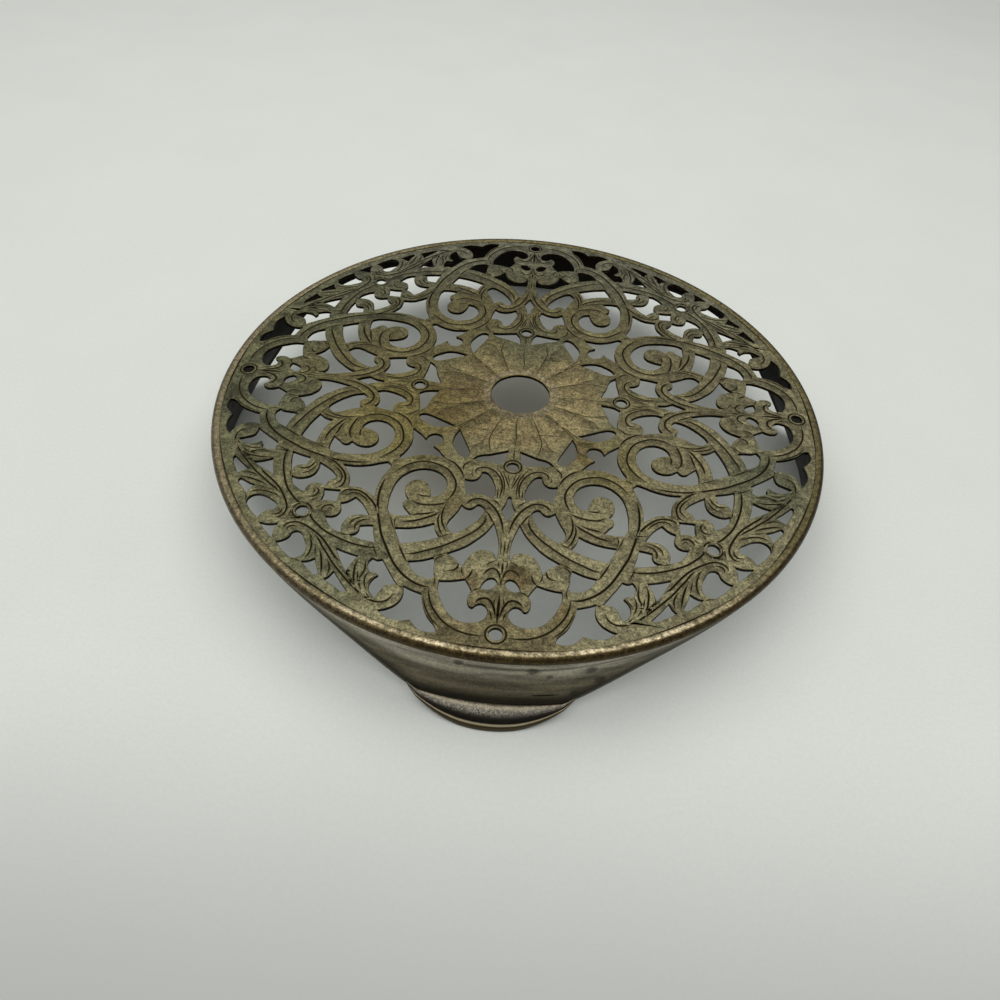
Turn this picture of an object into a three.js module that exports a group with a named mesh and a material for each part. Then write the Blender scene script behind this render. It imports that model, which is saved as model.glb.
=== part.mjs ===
// Pierced brass trivet on four feet: a flat pierced plate let into a rounded brass rim,
// which sits on a cast skirt whose lower edge is cut in four arches between the feet.
// Millimetres, Z up, the origin on the table under the middle of the plate.
import * as THREE from 'three';
import { toCreasedNormals } from 'three/addons/utils/BufferGeometryUtils.js';

// Driving dimensions

const RIM_DIAMETER = 200;
const PLATE_HEIGHT = 24.5;          // top of the plate above the table
const PLATE_THICKNESS = 1.2;
const FIT_GAP = 0.3;                // solder gap between neighbouring pieces

const RIM_WIDTH = 2.9;              // of the bead outside the plate
const BEAD_RISE = 0.4;              // above the plate's top
const BEAD_UNDERCUT = 45;           // degrees that the bead's round runs under its widest line
const RIM_EDGE = 0.5;               // of the rim under the bead
const LEDGE_WIDTH = 1.2;            // that the plate rests on
const LEDGE_THICKNESS = 1.5;

const SKIRT_INSET = 0.9;            // of the skirt's top inside the rim's widest line
const SKIRT_WALL = 1.8;
const SKIRT_FLARE = 2.9;            // of the wall between the rim and the foot moulding
const SKIRT_HOLLOW = 0.4;
const TOE_HEIGHT = 4.9;
const CREASE_DEPTH = 0.3;           // between the wall and the toe
const TOE_REACH = 6.2;              // outside the crease, in the middle of a foot
const TOE_SWEEP = 13;               // degrees to each side in which the toe draws in to the wall
const LIP_HEIGHT = 0.9;
const SOLE_WIDTH = 5.9;             // of a foot where it stands on the table
const ARCH_BAND = 1.8;              // of skirt left over the middle of an arch
const ARCH_SHAPE = 1.45;            // more makes the feet narrower and the arches wider
const FOOT_FLAT = 8;                // degrees of each foot that touch the table
const FOOT_COUNT = 4;

const PLATE_BORDER = 1.2;           // of plate left outside the pierced pattern
const CENTRE_HOLE_RADIUS = 9.8;
const RING_HOLE_RADIUS = 1.85;

const ROUND_STEPS = 96;             // facets round the plate and the rim
const SKIRT_STEPS = 180;            // facets round the skirt
const SKIRT_CREASE = 35;            // degrees between two faces that show an edge
const OUTER_WALL_STEPS = 5;
const INNER_WALL_STEPS = 2;
const TOE_STEPS = 4;
const BEAD_STEPS = 5;
const RING_HOLE_STEPS = 14;
const CENTRE_HOLE_STEPS = 40;
const CURVE_SAMPLES = 8;            // between two points of a drawn row
const OUTLINE_TOLERANCE = 0.18;
const SAME_POINT = 1e-4;            // points nearer than this are one

// Sizes that follow from them

const rimRadius = RIM_DIAMETER / 2;
const plateRadius = rimRadius - RIM_WIDTH - FIT_GAP;
const plateBottom = PLATE_HEIGHT - PLATE_THICKNESS;
const ledgeTop = plateBottom - FIT_GAP;
const rimBottom = ledgeTop - LEDGE_THICKNESS;
const skirtTop = rimBottom - FIT_GAP;
const skirtTopRadius = rimRadius - SKIRT_INSET;
const archHeadroom = skirtTop - ARCH_BAND;
const DEGREE = Math.PI / 180;

// The pierced pattern: one eighth of it lies between the axis of a palmette and the diagonal
// beside it. A point is its distance from the axis, then its distance from the centre along
// the axis. Each row runs smoothly from one corner to the next row's first point, and the last
// row closes on the first.

const eighthOpenings = {
  beside_petal: [
    [[1.8, 27.1], [4.5, 28.2], [7.5, 29.4], [10.2, 30.1], [11.6, 31.0]],
    [[12.6, 32.4], [9.5, 32.6], [6.5, 33.1]],
    [[3.8, 33.6], [2.5, 31.6], [2.0, 29.2]],
  ],
  petal_corner: [
    [[18.1, 19.6], [17.0, 22.0], [15.5, 25.2], [14.3, 27.8], [13.7, 30.0], [14.2, 31.6],
      [15.3, 31.9], [16.6, 31.2], [18.3, 29.0], [19.5, 26.5], [19.4, 23.2]],
  ],
  scroll: [
    [[23.0, 49.0], [20.8, 48.2], [19.2, 46.0], [19.0, 43.2], [20.4, 40.3], [22.8, 38.6],
      [25.6, 38.0], [28.6, 38.5], [31.4, 40.3], [33.6, 43.3], [34.7, 47.5], [35.0, 52.0],
      [34.6, 55.2]],
    [[33.6, 57.0], [31.0, 57.2]],
    [[27.7, 56.7], [29.3, 54.8], [30.7, 53.0], [30.5, 51.7]],
    [[29.3, 50.8], [30.6, 48.8], [31.0, 46.2], [30.0, 43.9], [27.7, 42.85], [25.4, 43.4],
      [24.0, 45.3], [23.3, 47.3]],
  ],
  beside_scroll: [
    [[14.0, 40.6], [12.2, 40.9], [10.5, 40.3], [9.5, 38.9]],
    [[9.1, 37.2], [7.9, 37.2], [6.4, 38.6], [5.2, 41.0], [4.4, 43.8], [4.3, 45.8]],
    [[5.0, 47.7], [6.8, 46.7], [9.0, 46.05], [11.2, 46.35]],
    [[12.7, 47.3], [13.5, 44.2]],
  ],
  slanting: [
    [[13.7, 50.9], [12.6, 51.8], [11.2, 52.1], [10.0, 51.4], [9.0, 50.3], [7.7, 50.7]],
    [[6.7, 51.9], [7.6, 54.6], [9.4, 57.3], [11.8, 59.8], [14.3, 61.5]],
    [[15.4, 61.6], [16.9, 59.7], [16.7, 57.5], [15.4, 55.0], [14.3, 52.7]],
  ],
  between_bands: [
    [[31.4, 61.6], [27.5, 61.2], [23.8, 60.2]],
    [[20.7, 58.7], [20.0, 61.2]],
    [[18.4, 63.6], [22.0, 65.2], [25.5, 66.3]],
    [[29.0, 67.0], [30.3, 64.4]],
  ],
  beside_stem: [
    [[3.7, 56.5], [5.3, 59.6], [8.0, 63.0], [11.0, 65.9]],
    [[15.9, 68.9], [13.6, 70.2]],
    [[11.0, 73.0], [10.1, 70.5], [8.6, 68.1], [5.6, 66.55], [2.9, 67.3]],
    [[1.9, 69.7], [1.6, 66.0], [2.0, 62.4]],
  ],
  under_leaf: [
    [[25.9, 72.7], [22.5, 72.0]],
    [[19.0, 70.6], [18.6, 72.8], [18.4, 75.4]],
    [[17.8, 76.7], [19.4, 77.7], [21.6, 77.3], [23.8, 76.1]],
  ],
  palmette_side: [
    [[16.5, 78.0], [13.5, 77.7]],
    [[9.7, 76.7], [8.6, 78.4]],
    [[7.5, 80.4], [8.4, 82.6], [8.0, 84.7], [6.9, 85.4], [5.8, 84.4], [4.4, 84.05],
      [3.0, 85.2], [2.8, 87.2], [4.2, 89.2], [7.2, 90.1], [10.2, 89.7], [13.0, 87.6],
      [15.2, 84.2], [16.5, 80.6]],
  ],
  palmette_eye: [
    [[5.4, 79.2], [4.8, 77.4], [3.5, 75.9], [2.2, 75.6], [1.3, 76.3]],
    [[1.0, 77.2], [1.8, 78.6], [3.4, 79.5]],
  ],
  cusped_by_rim: [
    [[25.6, 80.8], [23.2, 81.8]],
    [[20.6, 82.6], [19.9, 85.4], [18.2, 89.2], [15.6, 92.3]],
    [[15.3, 93.7], [17.4, 94.0], [19.8, 93.3]],
    [[22.3, 90.9], [25.3, 91.4], [28.6, 90.8]],
    [[31.0, 89.0], [28.6, 88.1], [26.3, 86.2], [25.3, 83.6]],
  ],
  leaf: [
    [[32.8, 72.9], [34.2, 73.3]],
    [[35.5, 72.8], [36.3, 74.2], [35.9, 76.4]],
    [[35.2, 77.7], [34.0, 77.5]],
    [[32.9, 78.2], [34.1, 79.6], [34.7, 81.6], [34.2, 83.6]],
    [[32.6, 85.5], [31.7, 83.6], [30.6, 81.5], [28.8, 80.8]],
    [[27.3, 80.8], [29.2, 78.2], [31.4, 75.0]],
  ],
  leaf_triangle: [
    [[46.0, 70.7], [43.0, 71.7]],
    [[39.4, 72.6], [40.7, 75.0]],
    [[41.7, 78.0], [43.8, 75.0]],
  ],
  first_rim_triangle: [
    [[47.0, 81.2], [45.8, 80.0]],
    [[44.9, 78.3], [43.2, 80.5]],
    [[40.0, 84.2], [40.8, 84.5], [44.0, 83.0]],
  ],
  second_rim_triangle: [
    [[54.3, 76.2], [52.5, 75.7]],
    [[50.8, 74.6], [50.2, 76.6]],
    [[48.7, 79.6], [49.4, 80.1], [51.9, 78.4]],
  ],
  rim_bean: [
    [[62.9, 70.4], [61.2, 69.6], [59.9, 68.3], [59.1, 66.4], [57.3, 66.3], [55.6, 68.5],
      [54.4, 71.0], [54.4, 73.6], [55.8, 75.1]],
    [[57.6, 75.3], [60.3, 73.2]],
  ],
  bud: [
    [[44.7, 51.8], [42.6, 53.6], [41.0, 55.7]],
    [[39.5, 58.2], [42.0, 58.2], [44.4, 59.0], [46.0, 61.2], [46.4, 63.4]],
    [[45.9, 65.1], [48.2, 64.5], [50.6, 62.1]],
    [[51.7, 59.9], [49.7, 59.7], [48.3, 58.6], [47.9, 56.9]],
    [[48.5, 54.5], [46.8, 53.8]],
  ],
  curl: [
    [[41.3, 62.1], [39.5, 61.7]],
    [[37.7, 61.5], [37.0, 64.5]],
    [[36.0, 67.5], [39.0, 67.1], [41.5, 66.6]],
    [[44.0, 65.7], [42.2, 65.2], [41.4, 64.2]],
  ],
};

// Openings that lie across the diagonal: their half on the axis side, from the point on the
// diagonal nearest the centre to the one farthest from it.
const diagonalHalves = {
  cusped: [
    [[23.3, 23.3], [22.6, 25.0], [23.2, 27.0]],
    [[25.3, 28.2], [23.5, 29.7], [22.2, 31.3]],
    [[20.9, 32.9], [23.5, 32.5], [26.3, 32.2], [29.0, 32.7], [31.7, 33.8]],
    [[33.6, 34.9]],
    [[34.7, 34.7]],
  ],
  kite: [
    [[37.3, 37.3]],
    [[36.6, 38.1], [37.3, 40.2], [38.3, 42.6], [39.1, 45.6], [39.45, 48.5]],
    [[39.3, 51.2], [41.3, 49.8], [43.7, 48.3]],
    [[47.8, 47.8]],
  ],
  square: [
    [[49.7, 49.7]],
    [[49.8, 54.4], [52.0, 54.2]],
    [[54.4, 54.4]],
  ],
  rim_triangle: [
    [[64.0, 64.0], [64.6, 66.4]],
    [[64.4, 69.4]],
    [[67.0, 67.0]],
  ],
};

// Openings on the axis of each palmette: the half on one side, from the centre outward.
const axisHalves = {
  diamond: [
    [[0.0, 46.1]],
    [[0.6, 46.6], [0.9, 48.8]],
    [[2.1, 51.5], [1.2, 53.6]],
    [[0.0, 55.9]],
  ],
};

// Distances from the centre to the small ring holes, on the axes and on the diagonals
const ringDistances = {
  axis: [34.1, 92.7],
  diagonal: [83.1],
};

// Curves of the pattern

function smoothRun(points) {
  if (points.length === 2) {
    return [points[0]];
  }
  const curve = new THREE.CatmullRomCurve3(
    points.map(([across, outward]) => new THREE.Vector3(across, outward, 0)),
    points[0] === points.at(-1),
    'centripetal',
  );
  const fine = curve.getPoints(CURVE_SAMPLES * (points.length - 1)).map((point) => [point.x, point.y]);
  return thinned(fine).slice(0, -1);
}

// Keeps only the points that hold the curve within the outline tolerance.
function thinned(points) {
  const start = points[0];
  const end = points.at(-1);
  const chord = Math.hypot(end[0] - start[0], end[1] - start[1]);
  let farthest = 0;
  let offset = 0;
  points.forEach(([x, y], index) => {
    const distance = chord < SAME_POINT
      ? Math.hypot(x - start[0], y - start[1])
      : Math.abs((end[0] - start[0]) * (start[1] - y) - (start[0] - x) * (end[1] - start[1])) / chord;
    if (distance > offset) {
      offset = distance;
      farthest = index;
    }
  });
  if (offset <= OUTLINE_TOLERANCE) {
    return [start, end];
  }
  const before = thinned(points.slice(0, farthest + 1));
  const after = thinned(points.slice(farthest));
  return [...before.slice(0, -1), ...after];
}

function closedOutline(rows) {
  return rows.flatMap((row, index) => {
    const nextCorner = rows[(index + 1) % rows.length][0];
    return smoothRun([...row, nextCorner]);
  });
}

// Adds the mirror image of a half outline. Its first and last rows start on the mirror line.
function foldedOutline(rows, mirror) {
  const half = rows.slice(0, -1).flatMap((row, index) => smoothRun([...row, rows[index + 1][0]]));
  const last = rows.at(-1)[0];
  const mirrored = half.slice(1).reverse().map(mirror);
  return [...half, last, ...mirrored];
}

const acrossAxis = ([across, outward]) => [-across, outward];
const acrossDiagonal = ([across, outward]) => [outward, across];

function turned([x, y], angle) {
  return [
    x * Math.cos(angle) - y * Math.sin(angle),
    x * Math.sin(angle) + y * Math.cos(angle),
  ];
}

function circle(x, y, radius, steps) {
  const points = [];
  for (let step = 0; step < steps; step += 1) {
    const angle = 2 * Math.PI * step / steps;
    points.push([x + radius * Math.cos(angle), y + radius * Math.sin(angle)]);
  }
  return points;
}

function ringHole(x, y) {
  return circle(x, y, RING_HOLE_RADIUS, RING_HOLE_STEPS);
}

function drawnOutlines() {
  const outlines = [];
  for (const rows of Object.values(eighthOpenings)) {
    const outline = closedOutline(rows);
    outlines.push(outline, outline.map(acrossAxis));
  }
  for (const rows of Object.values(diagonalHalves)) {
    outlines.push(foldedOutline(rows, acrossDiagonal));
  }
  for (const rows of Object.values(axisHalves)) {
    outlines.push(foldedOutline(rows, acrossAxis));
  }
  return outlines;
}

function plateHoles() {
  const outlines = drawnOutlines();
  const drawnReach = Math.max(...outlines.flat().map(([x, y]) => Math.hypot(x, y)));
  const scale = (plateRadius - PLATE_BORDER) / drawnReach;
  const aroundAxis = outlines.map((outline) => outline.map(([x, y]) => [x * scale, y * scale]));
  for (const distance of ringDistances.axis) {
    aroundAxis.push(ringHole(0, distance * scale));
  }
  for (const distance of ringDistances.diagonal) {
    const offset = distance * scale * Math.SQRT1_2;
    aroundAxis.push(ringHole(offset, offset));
  }
  const holes = [circle(0, 0, CENTRE_HOLE_RADIUS, CENTRE_HOLE_STEPS)];
  for (let quarter = 0; quarter < 4; quarter += 1) {
    const angle = quarter * Math.PI / 2;
    holes.push(...aroundAxis.map((outline) => outline.map((point) => turned(point, angle))));
  }
  return holes;
}

// Solids

// Turns a closed section of [radius, height] points about the vertical axis.
function ring(section, steps) {
  const closed = [...section, section[0]];
  const geometry = new THREE.LatheGeometry(closed.map(([r, z]) => new THREE.Vector2(r, z)), steps);
  geometry.rotateX(Math.PI / 2);
  return geometry;
}

// Joins closed sections of [radius, height] points, one for each step round the vertical axis.
function loftedRing(sectionAt, steps) {
  const positions = [];
  const triangles = [];
  for (let step = 0; step < steps; step += 1) {
    const degrees = 360 * step / steps;
    const section = sectionAt(degrees);
    const first = step * section.length;
    const nextFirst = (step + 1) % steps * section.length;
    section.forEach(([radius, height], corner) => {
      const next = (corner + 1) % section.length;
      positions.push(radius * Math.cos(degrees * DEGREE), radius * Math.sin(degrees * DEGREE), height);
      triangles.push(first + corner, first + next, nextFirst + corner);
      triangles.push(first + next, nextFirst + next, nextFirst + corner);
    });
  }
  const geometry = new THREE.BufferGeometry();
  geometry.setAttribute('position', new THREE.Float32BufferAttribute(positions, 3));
  geometry.setIndex(triangles);
  return toCreasedNormals(geometry, SKIRT_CREASE * DEGREE);
}

function piercedTop() {
  const asPoints = (outline) => outline.map(([x, y]) => new THREE.Vector2(x, y));
  const disc = new THREE.Shape(asPoints(circle(0, 0, plateRadius, ROUND_STEPS)));
  disc.holes = plateHoles().map((outline) => new THREE.Path(asPoints(outline)));
  const geometry = new THREE.ExtrudeGeometry(disc, {
    depth: PLATE_THICKNESS,
    bevelEnabled: false,
  });
  geometry.translate(0, 0, plateBottom);
  return geometry;
}

// The bead's outside runs down round its widest line. Its inside is flush with the plate.
function rim() {
  const beadCentre = rimRadius - RIM_WIDTH / 2;
  const beadTop = PLATE_HEIGHT + BEAD_RISE;
  const beadDepth = beadTop - rimBottom - RIM_EDGE;
  const beadHalfHeight = beadDepth / (1 + Math.sin(BEAD_UNDERCUT * DEGREE));
  const bead = [];
  for (let step = 0; step <= BEAD_STEPS; step += 1) {
    const degrees = step / BEAD_STEPS * (180 + BEAD_UNDERCUT) - BEAD_UNDERCUT;
    const depth = degrees > 90 ? BEAD_RISE : beadHalfHeight;
    bead.push([
      beadCentre + RIM_WIDTH / 2 * Math.cos(degrees * DEGREE),
      beadTop - depth * (1 - Math.sin(degrees * DEGREE)),
    ]);
  }
  return ring([
    [plateRadius - LEDGE_WIDTH, rimBottom],
    [skirtTopRadius, rimBottom],
    ...bead,
    [rimRadius - RIM_WIDTH, ledgeTop],
    [plateRadius - LEDGE_WIDTH, ledgeTop],
  ], ROUND_STEPS);
}

// Outside of the skirt's wall: hollow under the rim, then flaring to the foot moulding.
function wallRadius(height) {
  const share = (skirtTop - height) / (skirtTop - TOE_HEIGHT);
  return skirtTopRadius + SKIRT_FLARE * share ** 2 - SKIRT_HOLLOW * Math.sin(Math.PI * share);
}

function wallPoints(steps, lowest, inset) {
  const points = [];
  for (let step = 0; step <= steps; step += 1) {
    const height = skirtTop + step / steps * (lowest - skirtTop);
    points.push([wallRadius(height) - inset, height]);
  }
  return points;
}

// Height of the skirt's lower edge at an angle from the nearest foot's middle, in degrees.
function edgeHeight(angle) {
  const wave = (degrees) => ((1 + Math.cos(FOOT_COUNT * degrees * DEGREE)) / 2) ** ARCH_SHAPE;
  return archHeadroom * Math.max(0, 1 - wave(angle) / wave(FOOT_FLAT / 2));
}

// The skirt's section at a place round it, in degrees. The toe is longest in the middle of a
// foot, and its lip follows the lower edge up the sides, where the toe draws in to the wall.
function skirtSection(degrees) {
  const pitch = 360 / FOOT_COUNT;
  const fromFoot = Math.abs((degrees + pitch / 2) % pitch - pitch / 2);
  const fullness = Math.max(0, 1 - (fromFoot / TOE_SWEEP) ** 2);
  const edge = edgeHeight(fromFoot);
  const lipTop = edge + LIP_HEIGHT;
  const crease = Math.max(TOE_HEIGHT, lipTop + 2 * CREASE_DEPTH);
  const creaseRadius = wallRadius(crease) - CREASE_DEPTH * fullness;
  const lipRadius = creaseRadius + TOE_REACH * fullness;
  const soleWidth = SKIRT_WALL + (SOLE_WIDTH - SKIRT_WALL) * fullness;
  const outside = wallPoints(OUTER_WALL_STEPS, crease, 0);
  const inside = wallPoints(INNER_WALL_STEPS, crease, SKIRT_WALL).reverse();
  for (let step = 0; step <= TOE_STEPS; step += 1) {
    const angle = step / TOE_STEPS * Math.PI / 2;
    outside.push([
      creaseRadius + (lipRadius - creaseRadius) * Math.sin(angle),
      lipTop + (crease - CREASE_DEPTH - lipTop) * Math.cos(angle),
    ]);
  }
  return [...outside, [lipRadius, edge], [lipRadius - soleWidth, edge], ...inside];
}

function skirt() {
  return loftedRing(skirtSection, SKIRT_STEPS);
}

// Assembly

const metals = {
  patinatedBrass: { color: 0x8f8455, roughness: 0.5, metalness: 0.9 },
  polishedBrass: { color: 0xb08d52, roughness: 0.28, metalness: 1 },
  nickelPlate: { color: 0x8d877b, roughness: 0.34, metalness: 1 },
};

const trivet = new THREE.Group();
trivet.name = 'pierced_trivet';

function addPiece(name, geometry, metal) {
  const mesh = new THREE.Mesh(geometry, new THREE.MeshStandardMaterial(metals[metal]));
  mesh.name = name;
  trivet.add(mesh);
}

addPiece('pierced_top', piercedTop(), 'patinatedBrass');
addPiece('rim', rim(), 'polishedBrass');
addPiece('skirt', skirt(), 'nickelPlate');

export default trivet;
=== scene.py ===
"""Round brass trivet: a pierced and engraved plate in a bead rim, on a plated skirt with four feet.

The solids are loaded first. Each operator then makes one piece around them, in millimetres,
and sets it in the solids' own frame, in metres.
"""

import math

import bmesh
import bpy
from mathutils import Matrix, Vector


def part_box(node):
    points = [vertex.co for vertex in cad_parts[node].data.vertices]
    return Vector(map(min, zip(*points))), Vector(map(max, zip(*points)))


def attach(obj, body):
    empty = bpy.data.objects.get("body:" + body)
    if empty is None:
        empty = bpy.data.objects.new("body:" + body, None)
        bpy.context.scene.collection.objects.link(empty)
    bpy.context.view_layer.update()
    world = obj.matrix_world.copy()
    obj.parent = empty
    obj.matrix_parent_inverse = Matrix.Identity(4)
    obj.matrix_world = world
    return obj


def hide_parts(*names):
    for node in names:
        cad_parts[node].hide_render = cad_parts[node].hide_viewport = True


bl_info = {
    "name": "Pierced Trivet",
    "version": (1, 0, 0),
    "blender": (4, 5, 0),
    "location": "View3D > Sidebar > Trivet",
    "description": "A round brass trivet with a pierced and engraved plate on a footed skirt",
    "category": "Add Mesh",
}

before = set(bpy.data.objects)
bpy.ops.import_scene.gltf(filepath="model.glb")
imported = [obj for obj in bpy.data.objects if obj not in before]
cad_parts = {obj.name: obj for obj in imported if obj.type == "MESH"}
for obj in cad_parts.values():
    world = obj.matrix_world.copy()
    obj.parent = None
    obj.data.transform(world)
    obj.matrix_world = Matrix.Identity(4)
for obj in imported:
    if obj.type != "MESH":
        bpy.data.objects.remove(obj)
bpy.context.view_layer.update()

MM = 0.001
PLATE_LOW, PLATE_HIGH = (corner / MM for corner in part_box("pierced_top"))
RIM_LOW, RIM_HIGH = (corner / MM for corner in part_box("rim"))
SKIRT_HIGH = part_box("skirt")[1] / MM

# The pierced pattern of one eighth of the plate, in millimetres. A point is its distance from
# the palmette's axis, then its distance from the centre along that axis. A row starts at a
# corner and runs smoothly to the first point of the next row.

EIGHTH_OPENINGS = {
    "beside_petal": (
        ((1.8, 27.1), (4.5, 28.2), (7.5, 29.4), (10.2, 30.1), (11.6, 31.0)),
        ((12.6, 32.4), (9.5, 32.6), (6.5, 33.1)),
        ((3.8, 33.6), (2.5, 31.6), (2.0, 29.2)),
    ),
    "petal_corner": (
        ((18.1, 19.6), (17.0, 22.0), (15.5, 25.2), (14.3, 27.8), (13.7, 30.0), (14.2, 31.6),
         (15.3, 31.9), (16.6, 31.2), (18.3, 29.0), (19.5, 26.5), (19.4, 23.2)),
    ),
    "scroll": (
        ((23.0, 49.0), (20.8, 48.2), (19.2, 46.0), (19.0, 43.2), (20.4, 40.3), (22.8, 38.6),
         (25.6, 38.0), (28.6, 38.5), (31.4, 40.3), (33.6, 43.3), (34.7, 47.5), (35.0, 52.0),
         (34.6, 55.2)),
        ((33.6, 57.0), (31.0, 57.2)),
        ((27.7, 56.7), (29.3, 54.8), (30.7, 53.0), (30.5, 51.7)),
        ((29.3, 50.8), (30.6, 48.8), (31.0, 46.2), (30.0, 43.9), (27.7, 42.85), (25.4, 43.4),
         (24.0, 45.3), (23.3, 47.3)),
    ),
    "beside_scroll": (
        ((14.0, 40.6), (12.2, 40.9), (10.5, 40.3), (9.5, 38.9)),
        ((9.1, 37.2), (7.9, 37.2), (6.4, 38.6), (5.2, 41.0), (4.4, 43.8), (4.3, 45.8)),
        ((5.0, 47.7), (6.8, 46.7), (9.0, 46.05), (11.2, 46.35)),
        ((12.7, 47.3), (13.5, 44.2)),
    ),
    "slanting": (
        ((13.7, 50.9), (12.6, 51.8), (11.2, 52.1), (10.0, 51.4), (9.0, 50.3), (7.7, 50.7)),
        ((6.7, 51.9), (7.6, 54.6), (9.4, 57.3), (11.8, 59.8), (14.3, 61.5)),
        ((15.4, 61.6), (16.9, 59.7), (16.7, 57.5), (15.4, 55.0), (14.3, 52.7)),
    ),
    "between_bands": (
        ((31.4, 61.6), (27.5, 61.2), (23.8, 60.2)),
        ((20.7, 58.7), (20.0, 61.2)),
        ((18.4, 63.6), (22.0, 65.2), (25.5, 66.3)),
        ((29.0, 67.0), (30.3, 64.4)),
    ),
    "beside_stem": (
        ((3.7, 56.5), (5.3, 59.6), (8.0, 63.0), (11.0, 65.9)),
        ((15.9, 68.9), (13.6, 70.2)),
        ((11.0, 73.0), (10.1, 70.5), (8.6, 68.1), (5.6, 66.55), (2.9, 67.3)),
        ((1.9, 69.7), (1.6, 66.0), (2.0, 62.4)),
    ),
    "under_leaf": (
        ((25.9, 72.7), (22.5, 72.0)),
        ((19.0, 70.6), (18.6, 72.8), (18.4, 75.4)),
        ((17.8, 76.7), (19.4, 77.7), (21.6, 77.3), (23.8, 76.1)),
    ),
    "palmette_side": (
        ((16.5, 78.0), (13.5, 77.7)),
        ((9.7, 76.7), (8.6, 78.4)),
        ((7.5, 80.4), (8.4, 82.6), (8.0, 84.7), (6.9, 85.4), (5.8, 84.4), (4.4, 84.05),
         (3.0, 85.2), (2.8, 87.2), (4.2, 89.2), (7.2, 90.1), (10.2, 89.7), (13.0, 87.6),
         (15.2, 84.2), (16.5, 80.6)),
    ),
    "palmette_eye": (
        ((5.4, 79.2), (4.8, 77.4), (3.5, 75.9), (2.2, 75.6), (1.3, 76.3)),
        ((1.0, 77.2), (1.8, 78.6), (3.4, 79.5)),
    ),
    "cusped_by_rim": (
        ((25.6, 80.8), (23.2, 81.8)),
        ((20.6, 82.6), (19.9, 85.4), (18.2, 89.2), (15.6, 92.3)),
        ((15.3, 93.7), (17.4, 94.0), (19.8, 93.3)),
        ((22.3, 90.9), (25.3, 91.4), (28.6, 90.8)),
        ((31.0, 89.0), (28.6, 88.1), (26.3, 86.2), (25.3, 83.6)),
    ),
    "leaf": (
        ((32.8, 72.9), (34.2, 73.3)),
        ((35.5, 72.8), (36.3, 74.2), (35.9, 76.4)),
        ((35.2, 77.7), (34.0, 77.5)),
        ((32.9, 78.2), (34.1, 79.6), (34.7, 81.6), (34.2, 83.6)),
        ((32.6, 85.5), (31.7, 83.6), (30.6, 81.5), (28.8, 80.8)),
        ((27.3, 80.8), (29.2, 78.2), (31.4, 75.0)),
    ),
    "leaf_triangle": (
        ((46.0, 70.7), (43.0, 71.7)),
        ((39.4, 72.6), (40.7, 75.0)),
        ((41.7, 78.0), (43.8, 75.0)),
    ),
    "first_rim_triangle": (
        ((47.0, 81.2), (45.8, 80.0)),
        ((44.9, 78.3), (43.2, 80.5)),
        ((40.0, 84.2), (40.8, 84.5), (44.0, 83.0)),
    ),
    "second_rim_triangle": (
        ((54.3, 76.2), (52.5, 75.7)),
        ((50.8, 74.6), (50.2, 76.6)),
        ((48.7, 79.6), (49.4, 80.1), (51.9, 78.4)),
    ),
    "rim_bean": (
        ((62.9, 70.4), (61.2, 69.6), (59.9, 68.3), (59.1, 66.4), (57.3, 66.3), (55.6, 68.5),
         (54.4, 71.0), (54.4, 73.6), (55.8, 75.1)),
        ((57.6, 75.3), (60.3, 73.2)),
    ),
    "bud": (
        ((44.7, 51.8), (42.6, 53.6), (41.0, 55.7)),
        ((39.5, 58.2), (42.0, 58.2), (44.4, 59.0), (46.0, 61.2), (46.4, 63.4)),
        ((45.9, 65.1), (48.2, 64.5), (50.6, 62.1)),
        ((51.7, 59.9), (49.7, 59.7), (48.3, 58.6), (47.9, 56.9)),
        ((48.5, 54.5), (46.8, 53.8)),
    ),
    "curl": (
        ((41.3, 62.1), (39.5, 61.7)),
        ((37.7, 61.5), (37.0, 64.5)),
        ((36.0, 67.5), (39.0, 67.1), (41.5, 66.6)),
        ((44.0, 65.7), (42.2, 65.2), (41.4, 64.2)),
    ),
}

# Openings that lie across the diagonal or the axis: one half, from the inner end to the outer.
DIAGONAL_HALVES = {
    "cusped": (
        ((23.3, 23.3), (22.6, 25.0), (23.2, 27.0)),
        ((25.3, 28.2), (23.5, 29.7), (22.2, 31.3)),
        ((20.9, 32.9), (23.5, 32.5), (26.3, 32.2), (29.0, 32.7), (31.7, 33.8)),
        ((33.6, 34.9),),
        ((34.7, 34.7),),
    ),
    "kite": (
        ((37.3, 37.3),),
        ((36.6, 38.1), (37.3, 40.2), (38.3, 42.6), (39.1, 45.6), (39.45, 48.5)),
        ((39.3, 51.2), (41.3, 49.8), (43.7, 48.3)),
        ((47.8, 47.8),),
    ),
    "square": (
        ((49.7, 49.7),),
        ((49.8, 54.4), (52.0, 54.2)),
        ((54.4, 54.4),),
    ),
    "rim_triangle": (
        ((64.0, 64.0), (64.6, 66.4)),
        ((64.4, 69.4),),
        ((67.0, 67.0),),
    ),
}
AXIS_HALVES = {
    "diamond": (
        ((0.0, 46.1),),
        ((0.6, 46.6), (0.9, 48.8)),
        ((2.1, 51.5), (1.2, 53.6)),
        ((0.0, 55.9),),
    ),
}
CENTRE_HOLE_RADIUS = 9.8
RINGS_ON_AXIS = (34.1, 92.7)
RING_ON_DIAGONAL = 83.1
RING_HOLE_RADIUS = 1.85

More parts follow.
